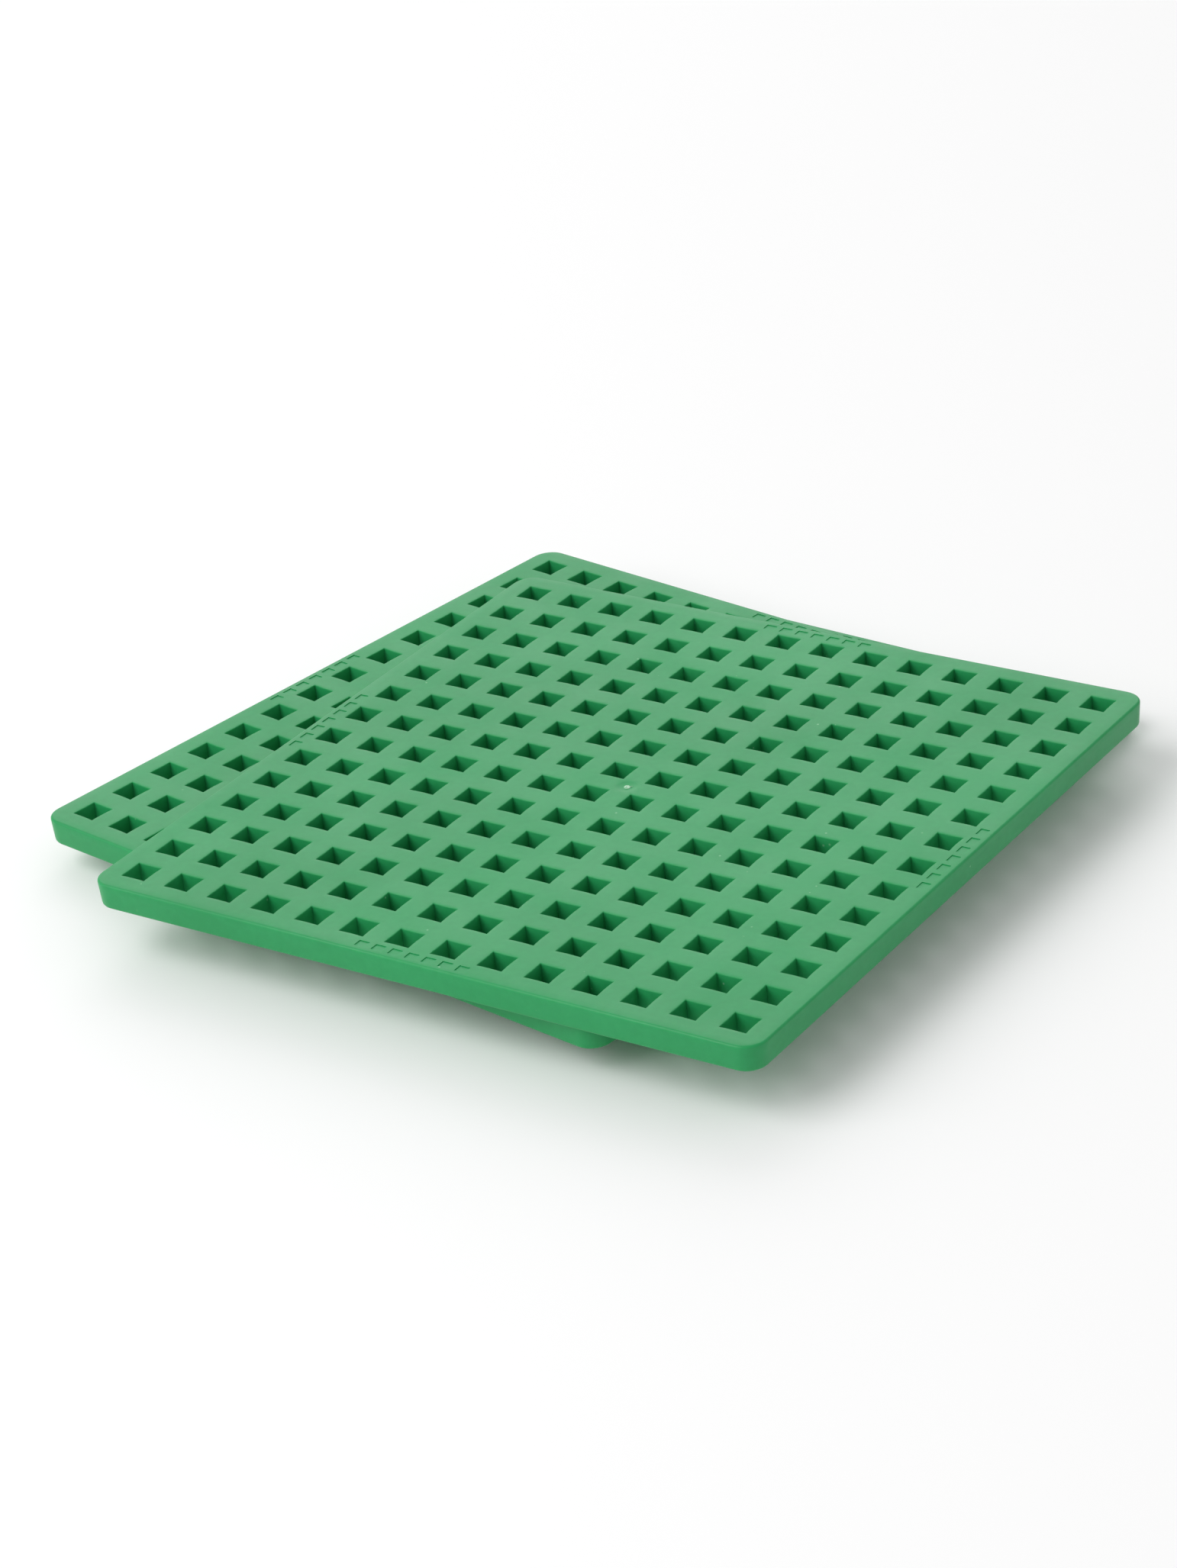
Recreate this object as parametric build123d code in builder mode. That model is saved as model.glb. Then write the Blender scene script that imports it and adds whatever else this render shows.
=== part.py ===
"""A fanned stack of three identical moulded peg plates, each a thin square slab with a grid of square sockets."""
from build123d import *
import math
import os

os.makedirs("parts", exist_ok=True)

# Plate, in millimetres
pitch = 8.0
sockets_per_side = 14
socket_width = 4.2
plate_width = 115.4
plate_thickness = 4.2
corner_radius = 3.4
side_draft = 4.0
top_edge_radius = 0.4
bottom_edge_radius = 0.5

# Moulding gate: a shallow dish in the middle of the top face, with a nub that stays below the face
gate_radius = 1.8
gate_depth = 0.25
nub_radius = 0.6
nub_height = 0.2

# Plain square marks in the middle of each margin, in place of any lettering
mark_count = 7
mark_spacing = 2.9
mark_length = 1.8
mark_width = 1.5
mark_depth = 0.15
margin_middle = (sockets_per_side - 1) / 4 * pitch + socket_width / 4 + plate_width / 4

# Where each plate's centre lies on the plate below, and how far the plate is turned about +Z
bottom_centre = (0.0, 0.0)
bottom_turn = -4.5
middle_centre = (-5.6, -6.8)
middle_turn = -9.0
top_centre = (12.0, -16.4)
top_turn = 0.0


def plate_plane(centre, turn, level):
    """The top face's plane of the plate at that level of the stack, counted from 0 at the bottom."""
    height = (level + 1) * plate_thickness
    return Plane(
        origin=(centre[0], centre[1], height),
        x_dir=(math.cos(math.radians(turn)), math.sin(math.radians(turn)), 0),
        z_dir=(0, 0, 1),
    )


def rim(blank, side):
    """The outer edges of a plate's top face (side -1) or underside (side 0)."""
    face = blank.faces().filter_by(Axis.Z).sort_by(Axis.Z)[side]
    return face.outer_wire().edges()


def plate(face_plane):
    """One moulded plate whose top face lies on the plane."""
    with BuildPart() as moulding:
        # Slab with drafted sides and rounded rims
        with BuildSketch(face_plane):
            RectangleRounded(plate_width, plate_width, corner_radius)
        extrude(amount=-plate_thickness, taper=side_draft)
        fillet(rim(moulding, -1), top_edge_radius)
        fillet(rim(moulding, 0), bottom_edge_radius)

        # Square grid of through sockets
        with BuildSketch(face_plane):
            with GridLocations(pitch, pitch, sockets_per_side, sockets_per_side):
                Rectangle(socket_width, socket_width)
        extrude(amount=-plate_thickness, mode=Mode.SUBTRACT)

        # Gate dish, cut as a ring, and its nub trimmed below the face
        with BuildSketch(face_plane):
            Circle(gate_radius)
            Circle(nub_radius, mode=Mode.SUBTRACT)
        extrude(amount=-gate_depth, mode=Mode.SUBTRACT)
        with BuildSketch(face_plane):
            Circle(nub_radius)
        extrude(amount=nub_height - gate_depth, mode=Mode.SUBTRACT)

        # Rows of plain marks in the middle of the four margins
        with BuildSketch(face_plane):
            for side in (-1, 1):
                with Locations((0, side * margin_middle)):
                    with GridLocations(mark_spacing, 1, mark_count, 1):
                        Rectangle(mark_length, mark_width)
                with Locations((side * margin_middle, 0)):
                    with GridLocations(1, mark_spacing, 1, mark_count):
                        Rectangle(mark_width, mark_length)
        extrude(amount=-mark_depth, mode=Mode.SUBTRACT)
    return moulding


bottom_plate = plate(plate_plane(bottom_centre, bottom_turn, 0))
middle_plate = plate(plate_plane(middle_centre, middle_turn, 1))
top_plate = plate(plate_plane(top_centre, top_turn, 2))

bottom_plate.part.label = "bottom_plate"
middle_plate.part.label = "middle_plate"
top_plate.part.label = "top_plate"

export_step(bottom_plate.part, "parts/bottom_plate.step")
export_step(middle_plate.part, "parts/middle_plate.step")
export_step(top_plate.part, "parts/top_plate.step")
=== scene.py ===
"""A fanned stack of green moulded peg plates, each a slab with a grid of small square sockets."""
import math
import random

import bmesh
import bpy
from mathutils import Matrix, Vector


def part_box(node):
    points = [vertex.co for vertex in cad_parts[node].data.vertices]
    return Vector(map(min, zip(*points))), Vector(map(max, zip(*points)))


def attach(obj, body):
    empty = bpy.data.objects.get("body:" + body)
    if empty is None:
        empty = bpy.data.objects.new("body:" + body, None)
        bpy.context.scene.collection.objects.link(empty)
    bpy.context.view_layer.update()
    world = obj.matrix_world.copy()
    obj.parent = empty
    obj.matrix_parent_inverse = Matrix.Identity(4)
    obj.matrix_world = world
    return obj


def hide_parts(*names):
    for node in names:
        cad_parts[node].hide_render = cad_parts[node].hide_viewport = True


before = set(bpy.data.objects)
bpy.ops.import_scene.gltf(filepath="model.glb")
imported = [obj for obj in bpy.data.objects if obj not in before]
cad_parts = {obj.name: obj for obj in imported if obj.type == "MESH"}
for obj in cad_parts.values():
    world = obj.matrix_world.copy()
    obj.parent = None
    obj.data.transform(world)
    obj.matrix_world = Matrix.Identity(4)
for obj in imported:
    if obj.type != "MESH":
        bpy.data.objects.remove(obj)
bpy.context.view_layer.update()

# The plate, in metres
PITCH = 0.008
SOCKETS = 14
THICKNESS = 0.0042
HALF_WIDTH = 0.11534 / 2
CORNER_RADIUS = 0.0034
SIDE_DRAFT = math.radians(4.0)
TOP_RADIUS = 0.0004
BOTTOM_RADIUS = 0.0005
UNDERSIDE_GAP = 0.00001
SOCKET_HALF = 0.0021
SOCKET_BOW = 0.00009
SOCKET_RIM = 0.00016
WALL_DRAFT = math.radians(2.5)
CELL_STEPS = 4
UNDERSIDE = THICKNESS - UNDERSIDE_GAP
ARC_STEPS = 8
WELD_DISTANCE = 1e-6
SLIVER_LENGTH = 2e-6

# The gate dish in the middle of the top face, and its nub
GATE_RADIUS = 0.0018
GATE_DEPTH = 0.00018
NUB_RADIUS = 0.00052
NUB_HEIGHT = 0.00015
TAIL_DIRECTION = Vector((0.75, 0.66))
TAIL_SPREAD = math.radians(10)
TAIL_REACH = 0.8

# Plain square marks in each margin
MARKS = 7
MARK_SPACING = 0.0029
MARK_LENGTH = 0.0018
MARK_WIDTH = 0.0015
MARK_DEPTH = 0.00012
MARGIN_MIDDLE = (PITCH * (SOCKETS - 1) / 2 + SOCKET_HALF + HALF_WIDTH) / 2

# Each CAD plate's body and its turn about +Z in degrees, as in the CAD model
PLATES = {
    "bottom_plate": ("bottom", -4.5),
    "middle_plate": ("middle", -9.0),
    "top_plate": ("top", 0.0),
}

# Green plastic: dark, middle and light mottling, and the pale colour of scratches and dust
PLASTIC_DARK = (0.014, 0.270, 0.082, 1)
PLASTIC_MIDDLE = (0.017, 0.292, 0.092, 1)
PLASTIC_LIGHT = (0.022, 0.318, 0.103, 1)
PLASTIC_PALE = (0.30, 0.55, 0.36, 1)
TORN_DARK = (0.12, 0.42, 0.2, 1)
TORN_PALE = (0.55, 0.8, 0.6, 1)
ROUGH_LOW = 0.38
ROUGH_HIGH = 0.48

# Noise scales of the plastic, per metre
CLOUD_SCALE = 28.0
GRAIN_SCALE = 900.0
WAVE_SCALE = 130.0
GLOSS_SCALE = 75.0
DUST_SCALE = 420.0
TEAR_SCALE = 2600.0
SCRATCH_PATCH_SCALE = 60.0
DUST_PATCH_SCALE = 190.0

# Two sets of scratches: direction in degrees and scale, and how far each scratch is drawn out
FIRST_SCRATCHES = (24, 260.0)
SECOND_SCRATCHES = (-52, 210.0)
SCRATCH_STRETCH = 0.035
PALE_SHARE = 0.55
GRAIN_STRENGTH = 0.35
GRAIN_HEIGHT = 0.00003
TEAR_HEIGHT = 0.00008

# Lamps: name, place from the middle of the top face, size and power
LAMPS = (
    ("left_softbox", (-0.55, -0.75, 0.85), 1.0, 10.5),
    ("back_softbox", (-0.75, 1.1, 0.75), 1.3, 7.0),
)
WORLD_STRENGTH = 0.58
FLOOR_HALF = 6.0
FLOOR_DROP = 0.00002

# Camera, from the middle of the top face
CAMERA_OFFSET = Vector((0.3324, -0.4661, 0.2947))
CAMERA_RIGHT = Vector((0.8315, 0.5481, -0.0907))
CAMERA_FORWARD = Vector((-0.5238, 0.7192, -0.4564))
CAMERA_LENS = 98.56
SENSOR = 36.0


def plate_top(node):
    """The middle of a CAD plate's top face."""
    lowest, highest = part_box(node)
    return Vector(((lowest[0] + highest[0]) / 2, (lowest[1] + highest[1]) / 2, highest[2]))


def quarter_turns(points):
    """The points of one side and one corner, repeated for all four sides."""
    ring = []
    for quarter in range(4):
        turn = Matrix.Rotation(math.radians(90 * quarter), 3, "Z")
        ring.extend(turn @ point for point in points)
    return ring


def side_profile():
    """Depth below the top face and inset from the widest outline, from the top face to the underside."""
    rows = []
    for step in range(5):
        angle = math.radians(90 * step / 4)
        rows.append((TOP_RADIUS * (1 - math.cos(angle)), TOP_RADIUS * (1 - math.sin(angle))))
    low = UNDERSIDE - BOTTOM_RADIUS
    foot = (low - TOP_RADIUS) * math.tan(SIDE_DRAFT)
    for step in range(1, 4):
        rows.append((TOP_RADIUS + (low - TOP_RADIUS) * step / 4, foot * step / 4))
    for step in range(5):
        angle = math.radians(90 * step / 4)
        depth = low + BOTTOM_RADIUS * math.sin(angle)
        rows.append((depth, foot + BOTTOM_RADIUS * (1 - math.cos(angle))))
    return rows


def cell_ring(half, bow, depth):
    """A square ring of one cell, whose sides may bow inwards."""
    side = []
    for step in range(CELL_STEPS):
        share = step / CELL_STEPS
        inwards = bow * math.sin(math.pi * share)
        side.append(Vector((half - inwards, half * (2 * share - 1), -depth)))
    return quarter_turns(side)


def socket_rings():
    """The rings of one cell: over the top face, down the drafted wall and out under the plate."""
    rings = [cell_ring(PITCH / 2, 0, 0)]
    rings.append(cell_ring(SOCKET_HALF + 4 * SOCKET_RIM, SOCKET_BOW / 2, 0))
    for step in range(4):
        angle = math.radians(90 * step / 3)
        out = SOCKET_RIM * (1 - math.sin(angle))
        rings.append(cell_ring(SOCKET_HALF + out, SOCKET_BOW, SOCKET_RIM * (1 - math.cos(angle))))
    wall = UNDERSIDE - 2 * SOCKET_RIM
    for step in range(1, 4):
        inwards = wall * step / 3 * math.tan(WALL_DRAFT)
        rings.append(cell_ring(SOCKET_HALF - inwards, SOCKET_BOW, SOCKET_RIM + wall * step / 3))
    low_half = SOCKET_HALF - wall * math.tan(WALL_DRAFT)
    rings.append(cell_ring(low_half + SOCKET_RIM, SOCKET_BOW, UNDERSIDE))
    rings.append(cell_ring(PITCH / 2, 0, UNDERSIDE))
    return rings


def bridge(mesh, outer, inner):
    """Quads between two closed rings of vertices."""
    count = len(outer)
    for index in range(count):
        after = (index + 1) % count
        mesh.faces.new((outer[index], outer[after], inner[after], inner[index]))


def side_places():
    """Places along one side of the block of cells, without the two corners."""
    step = PITCH / CELL_STEPS
    count = SOCKETS * CELL_STEPS
    return [step * (index - count / 2) for index in range(1, count)]


def outline_ring(depth, inset):
    """One ring of the plate's rounded outline."""
    half = HALF_WIDTH - inset
    radius = CORNER_RADIUS - inset
    side = [Vector((half, place, -depth)) for place in side_places()]
    for step in range(ARC_STEPS + 1):
        angle = math.radians(90 * step / ARC_STEPS)
        centre = half - radius
        place = (centre + radius * math.cos(angle), centre + radius * math.sin(angle), -depth)
        side.append(Vector(place))
    return quarter_turns(side)


def margin(mesh, outline, depth):
    """The strip between the block of cells and the outline, with a fan at each corner."""
    half = PITCH * SOCKETS / 2
    places = side_places()
    inner_side = [Vector((half, place, -depth)) for place in places] + [Vector((half, half, -depth))]
    inner = [mesh.verts.new(point) for point in quarter_turns(inner_side)]
    run = len(places)
    stride = run + ARC_STEPS + 1
    for quarter in range(4):
        near = quarter * (run + 1)
        far = quarter * stride
        before = inner[near - 1]
        last_arc = outline[far - 1]
        mesh.faces.new((before, last_arc, outline[far], inner[near]))
        for index in range(run - 1):
            inside = inner[near + index], inner[near + index + 1]
            outside = outline[far + index], outline[far + index + 1]
            mesh.faces.new((inside[0], outside[0], outside[1], inside[1]))
        corner = inner[near + run]
        mesh.faces.new((inner[near + run - 1], outline[far + run - 1], outline[far + run], corner))
        for step in range(ARC_STEPS):
            mesh.faces.new((corner, outline[far + run + step], outline[far + run + step + 1]))


def new_object(name, mesh):
    """A mesh object made from a bmesh."""
    data = bpy.data.meshes.new(name)
    mesh.to_mesh(data)
    mesh.free()
    piece = bpy.data.objects.new(name, data)
    bpy.context.scene.collection.objects.link(piece)
    return piece


def plate_slab(name):
    """The plate without its gate and marks, with its top face's middle at the origin."""
    mesh = bmesh.new()
    rings = socket_rings()
    for column in range(SOCKETS):
        for row in range(SOCKETS):
            across = (column - (SOCKETS - 1) / 2) * PITCH
            along = (row - (SOCKETS - 1) / 2) * PITCH
            centre = Vector((across, along, 0))
            made = [[mesh.verts.new(point + centre) for point in ring] for ring in rings]
            for outer, inner in zip(made, made[1:]):
                bridge(mesh, outer, inner)
    walls = [[mesh.verts.new(point) for point in outline_ring(*row)] for row in side_profile()]
    for upper, lower in zip(walls, walls[1:]):
        bridge(mesh, lower, upper)
    margin(mesh, walls[0], 0)
    margin(mesh, walls[-1], UNDERSIDE)
    bmesh.ops.remove_doubles(mesh, verts=mesh.verts, dist=WELD_DISTANCE)
    bmesh.ops.recalc_face_normals(mesh, faces=mesh.faces)
    return new_object(name, mesh)


def lathe(mesh, profile, steps=32):
    """A closed turned shape about Z. Its profile of radius and height starts and ends on the axis."""
    rings = []
    for radius, height in profile[1:-1]:
        ring = []
        for step in range(steps):
            angle = 2 * math.pi * step / steps
            ring.append(mesh.verts.new((radius * math.cos(angle), radius * math.sin(angle), height)))
        rings.append(ring)
    for upper, lower in zip(rings, rings[1:]):
        bridge(mesh, upper, lower)
    for end, ring in ((profile[0], rings[0]), (profile[-1], rings[-1])):
        tip = mesh.verts.new((0, 0, end[1]))
        for step in range(steps):
            mesh.faces.new((tip, ring[step], ring[(step + 1) % steps]))


def cutter():
    """Everything that is cut from the top face: the gate's dish and the four rows of marks."""
    mesh = bmesh.new()
    above = 0.0005
    dish = [(0, above), (GATE_RADIUS, above), (GATE_RADIUS, 0.0)]
    dish += [(GATE_RADIUS * 0.86, -GATE_DEPTH * 0.3), (GATE_RADIUS * 0.62, -GATE_DEPTH * 0.7)]
    dish += [(GATE_RADIUS * 0.4, -GATE_DEPTH), (0, -GATE_DEPTH)]
    lathe(mesh, dish)
    for quarter in range(4):
        turn = Matrix.Rotation(math.radians(90 * quarter), 4, "Z")
        for index in range(MARKS):
            along = (index - (MARKS - 1) / 2) * MARK_SPACING
            place = Vector((along, MARGIN_MIDDLE, (above - MARK_DEPTH) / 2))
            size = Matrix.Diagonal((MARK_LENGTH, MARK_WIDTH, above + MARK_DEPTH, 1))
            bmesh.ops.create_cube(mesh, size=1, matrix=turn @ Matrix.Translation(place) @ size)
    bmesh.ops.recalc_face_normals(mesh, faces=mesh.faces)
    return new_object("cutter", mesh)


def apply_modifiers(piece):
    """Replaces the piece's mesh with its evaluated one."""
    graph = bpy.context.evaluated_depsgraph_get()
    made = bpy.data.meshes.new_from_object(piece.evaluated_get(graph))
    piece.modifiers.clear()
    piece.data = made


def smooth(piece, degrees=32):
    """Smooth shading, with edges sharper than the angle kept crisp."""
    for face in piece.data.polygons:
        face.use_smooth = True
    piece.data.set_sharp_from_angle(angle=math.radians(degrees))


def plate_pattern():
    """The finished plate with its top face's middle at the origin."""
    slab = plate_slab("plate_pattern")
    tool = cutter()
    cut = slab.modifiers.new("cut", "BOOLEAN")
    cut.operation = "DIFFERENCE"
    cut.solver = "EXACT"
    cut.object = tool
    bpy.context.view_layer.update()
    apply_modifiers(slab)
    bpy.data.objects.remove(tool)
    tidy = bmesh.new()
    tidy.from_mesh(slab.data)
    bmesh.ops.dissolve_degenerate(tidy, edges=tidy.edges, dist=SLIVER_LENGTH)
    bmesh.ops.remove_doubles(tidy, verts=tidy.verts, dist=WELD_DISTANCE)
    tidy.to_mesh(slab.data)
    tidy.free()
    smooth(slab)
    return slab


def nub_pattern():
    """The stub of the gate: a low torn disc with a small tail, just below the face."""
    mesh = bmesh.new()
    base = -GATE_DEPTH
    profile = [(0, base + NUB_HEIGHT * 0.86), (NUB_RADIUS * 0.35, base + NUB_HEIGHT)]
    profile += [(NUB_RADIUS * 0.7, base + NUB_HEIGHT * 0.95), (NUB_RADIUS * 0.95, base + NUB_HEIGHT * 0.6)]
    profile += [(NUB_RADIUS, base - NUB_HEIGHT * 0.2), (0, base - NUB_HEIGHT * 0.2)]
    lathe(mesh, profile, steps=28)
    chance = random.Random(5)
    for vert in mesh.verts:
        if vert.co.z > base and vert.co.xy.length > NUB_RADIUS * 0.3:
            vert.co.x *= 1 + chance.uniform(-0.09, 0.09)
            vert.co.y *= 1 + chance.uniform(-0.09, 0.09)
            vert.co.z -= NUB_HEIGHT * chance.uniform(0, 0.3)
        radius = vert.co.xy.length
        if radius > NUB_RADIUS * 0.5 and vert.co.xy.angle_signed(TAIL_DIRECTION) ** 2 < TAIL_SPREAD**2:
            vert.co.xy *= 1 + TAIL_REACH * radius / NUB_RADIUS
    bmesh.ops.recalc_face_normals(mesh, faces=mesh.faces)
    piece = new_object("nub_pattern", mesh)
    smooth(piece, 50)
    return piece


def noise(tree, coordinates, scale, detail=4.0, roughness=0.5):
    """A noise texture on the coordinates."""
    node = tree.nodes.new("ShaderNodeTexNoise")
    node.inputs["Scale"].default_value = scale
    node.inputs["Detail"].default_value = detail
    node.inputs["Roughness"].default_value = roughness
    tree.links.new(coordinates, node.inputs["Vector"])
    return node.outputs["Fac"]


def ramp(tree, value, stops):
    """A colour ramp with the given positions and colours."""
    node = tree.nodes.new("ShaderNodeValToRGB")
    elements = node.color_ramp.elements
    elements[0].position, elements[0].color = stops[0]
    elements[1].position, elements[1].color = stops[-1]
    for position, colour in stops[1:-1]:
        elements.new(position).color = colour
    tree.links.new(value, node.inputs["Fac"])
    return node.outputs["Color"]


def remap(tree, value, low, high, new_low, new_high):
    """A value mapped from one range to another."""
    node = tree.nodes.new("ShaderNodeMapRange")
    for name, number in (("From Min", low), ("From Max", high), ("To Min", new_low), ("To Max", new_high)):
        node.inputs[name].default_value = number
    tree.links.new(value, node.inputs["Value"])
    return node.outputs["Result"]


def maths(tree, operation, first, second):
    """A maths node whose second input may be a number."""
    node = tree.nodes.new("ShaderNodeMath")
    node.operation = operation
    tree.links.new(first, node.inputs[0])
    if isinstance(second, (int, float)):
        node.inputs[1].default_value = second
    else:
        tree.links.new(second, node.inputs[1])
    return node.outputs[0]


def scratches(tree, coordinates, degrees, scale):
    """Thin broken lines in one direction: 1 on a scratch, 0 elsewhere."""
    turned = tree.nodes.new("ShaderNodeMapping")
    turned.inputs["Rotation"].default_value[2] = math.radians(degrees)
    turned.inputs["Scale"].default_value = (scale, scale * SCRATCH_STRETCH, scale)
    tree.links.new(coordinates, turned.inputs["Vector"])
    cells = tree.nodes.new("ShaderNodeTexVoronoi")
    cells.inputs["Scale"].default_value = 1.0
    tree.links.new(turned.outputs["Vector"], cells.inputs["Vector"])
    return remap(tree, cells.outputs["Distance"], 0.03, 0.06, 1.0, 0.0)


def green_plastic():
    """Satin moulded plastic: mottled green, a fine grain, faint scratches and a few dust specks."""
    material = bpy.data.materials.new("green_plastic")
    material.use_nodes = True
    tree = material.node_tree
    shader = tree.nodes["Principled BSDF"]
    place = tree.nodes.new("ShaderNodeTexCoord").outputs["Object"]

    cloud = noise(tree, place, CLOUD_SCALE, 3.0)
    grain = noise(tree, place, GRAIN_SCALE, 3.0)
    mottle = maths(tree, "ADD", maths(tree, "MULTIPLY", cloud, 0.7), maths(tree, "MULTIPLY", grain, 0.3))
    colour = ramp(tree, mottle, [(0.36, PLASTIC_DARK), (0.5, PLASTIC_MIDDLE), (0.66, PLASTIC_LIGHT)])
    first = scratches(tree, place, *FIRST_SCRATCHES)
    marks = maths(tree, "ADD", first, scratches(tree, place, *SECOND_SCRATCHES))
    patches = remap(tree, noise(tree, place, SCRATCH_PATCH_SCALE, 2.0), 0.56, 0.66, 0.0, 1.0)
    marks = maths(tree, "MULTIPLY", marks, patches)
    specks = tree.nodes.new("ShaderNodeTexVoronoi")
    specks.inputs["Scale"].default_value = DUST_SCALE
    tree.links.new(place, specks.inputs["Vector"])
    dust = remap(tree, specks.outputs["Distance"], 0.05, 0.085, 1.0, 0.0)
    patches = remap(tree, noise(tree, place, DUST_PATCH_SCALE, 1.0), 0.62, 0.66, 0.0, 1.0)
    dust = maths(tree, "MULTIPLY", dust, patches)
    pale = maths(tree, "MULTIPLY", maths(tree, "ADD", marks, dust), PALE_SHARE)
    mix = tree.nodes.new("ShaderNodeMix")
    mix.data_type = "RGBA"
    mix.clamp_factor = True
    tree.links.new(pale, mix.inputs["Factor"])
    tree.links.new(colour, mix.inputs[6])
    mix.inputs[7].default_value = PLASTIC_PALE
    tree.links.new(mix.outputs[2], shader.inputs["Base Color"])

    rough = remap(tree, noise(tree, place, GLOSS_SCALE, 4.0), 0.3, 0.7, ROUGH_LOW, ROUGH_HIGH)
    rough = maths(tree, "ADD", rough, maths(tree, "MULTIPLY", marks, 0.12))
    tree.links.new(rough, shader.inputs["Roughness"])

    height = maths(tree, "ADD", maths(tree, "MULTIPLY", grain, 0.5), maths(tree, "MULTIPLY", marks, -0.9))
    height = maths(tree, "ADD", height, maths(tree, "MULTIPLY", noise(tree, place, WAVE_SCALE, 2.0), 0.9))
    bump = tree.nodes.new("ShaderNodeBump")
    bump.inputs["Strength"].default_value = GRAIN_STRENGTH
    bump.inputs["Distance"].default_value = GRAIN_HEIGHT
    tree.links.new(height, bump.inputs["Height"])
    tree.links.new(bump.outputs["Normal"], shader.inputs["Normal"])
    shader.inputs["IOR"].default_value = 1.5
    shader.inputs["Specular IOR Level"].default_value = 0.30
    shader.inputs["Subsurface Weight"].default_value = 0.3
    shader.inputs["Subsurface Radius"].default_value = (0.2, 1.0, 0.35)
    shader.inputs["Subsurface Scale"].default_value = 0.0012
    return material


def whitened_plastic():
    """The stress-whitened plastic of a torn gate."""
    material = bpy.data.materials.new("whitened_plastic")
    material.use_nodes = True
    tree = material.node_tree
    shader = tree.nodes["Principled BSDF"]
    place = tree.nodes.new("ShaderNodeTexCoord").outputs["Object"]
    tear = noise(tree, place, TEAR_SCALE, 3.0, 0.7)
    colour = ramp(tree, tear, [(0.4, TORN_DARK), (0.62, TORN_PALE)])
    tree.links.new(colour, shader.inputs["Base Color"])
    shader.inputs["Roughness"].default_value = 0.3
    bump = tree.nodes.new("ShaderNodeBump")
    bump.inputs["Distance"].default_value = TEAR_HEIGHT
    tree.links.new(tear, bump.inputs["Height"])
    tree.links.new(bump.outputs["Normal"], shader.inputs["Normal"])
    return material


def place_plates():
    """Puts a finished plate and its gate nub where each CAD plate is."""
    green = green_plastic()
    white = whitened_plastic()
    plate = plate_pattern()
    nub = nub_pattern()
    for node, (body, turn) in PLATES.items():
        where = Matrix.Translation(plate_top(node)) @ Matrix.Rotation(math.radians(turn), 4, "Z")
        parts = ((plate, node + "_moulding", green), (nub, node + "_gate_nub", white))
        for pattern, name, material in parts:
            data = pattern.data.copy()
            data.name = name
            data.transform(where)
            data.materials.clear()
            data.materials.append(material)
            piece = bpy.data.objects.new(name, data)
            bpy.context.scene.collection.objects.link(piece)
            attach(piece, body)
            if pattern is plate:
                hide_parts(node)
    bpy.data.objects.remove(plate)
    bpy.data.objects.remove(nub)


def flat_panel(name, centre, half):
    """A large flat square for the studio floor."""
    mesh = bmesh.new()
    bmesh.ops.create_grid(mesh, x_segments=1, y_segments=1, size=half, matrix=Matrix.Translation(centre))
    return new_object(name, mesh)


def studio():
    """A plain pale floor under soft white light that is stronger from the left."""
    floor = flat_panel("floor", (0, 0, -FLOOR_DROP), FLOOR_HALF)
    material = bpy.data.materials.new("pale_floor")
    material.use_nodes = True
    shader = material.node_tree.nodes["Principled BSDF"]
    shader.inputs["Base Color"].default_value = (0.93, 0.93, 0.93, 1)
    shader.inputs["Roughness"].default_value = 0.9
    shader.inputs["Specular IOR Level"].default_value = 0.1
    floor.data.materials.append(material)

    world = bpy.data.worlds.new("studio")
    world.use_nodes = True
    world.node_tree.nodes["Background"].inputs["Color"].default_value = (1, 1, 1, 1)
    world.node_tree.nodes["Background"].inputs["Strength"].default_value = WORLD_STRENGTH
    bpy.context.scene.world = world

    for name, offset, size, power in LAMPS:
        data = bpy.data.lights.new(name, "AREA")
        data.shape = "SQUARE"
        data.size = size
        data.energy = power
        lamp = bpy.data.objects.new(name, data)
        lamp.location = plate_top("top_plate") + Vector(offset)
        lamp.rotation_euler = (-Vector(offset)).to_track_quat("-Z", "Y").to_euler()
        bpy.context.scene.collection.objects.link(lamp)


def camera():
    """The camera, from its place and its right and forward directions."""
    data = bpy.data.cameras.new("camera")
    data.lens = CAMERA_LENS
    data.sensor_width = SENSOR
    data.sensor_fit = "AUTO"
    data.clip_start = 0.01
    forward = CAMERA_FORWARD.normalized()
    right = (CAMERA_RIGHT - forward * CAMERA_RIGHT.dot(forward)).normalized()
    up = right.cross(forward)
    rotation = Matrix((right, up, -forward)).transposed()
    view = bpy.data.objects.new("camera", data)
    view.matrix_world = Matrix.Translation(plate_top("top_plate") + CAMERA_OFFSET) @ rotation.to_4x4()
    bpy.context.scene.collection.objects.link(view)
    bpy.context.scene.camera = view


place_plates()
studio()
camera()
bpy.context.scene.view_settings.view_transform = "Standard"
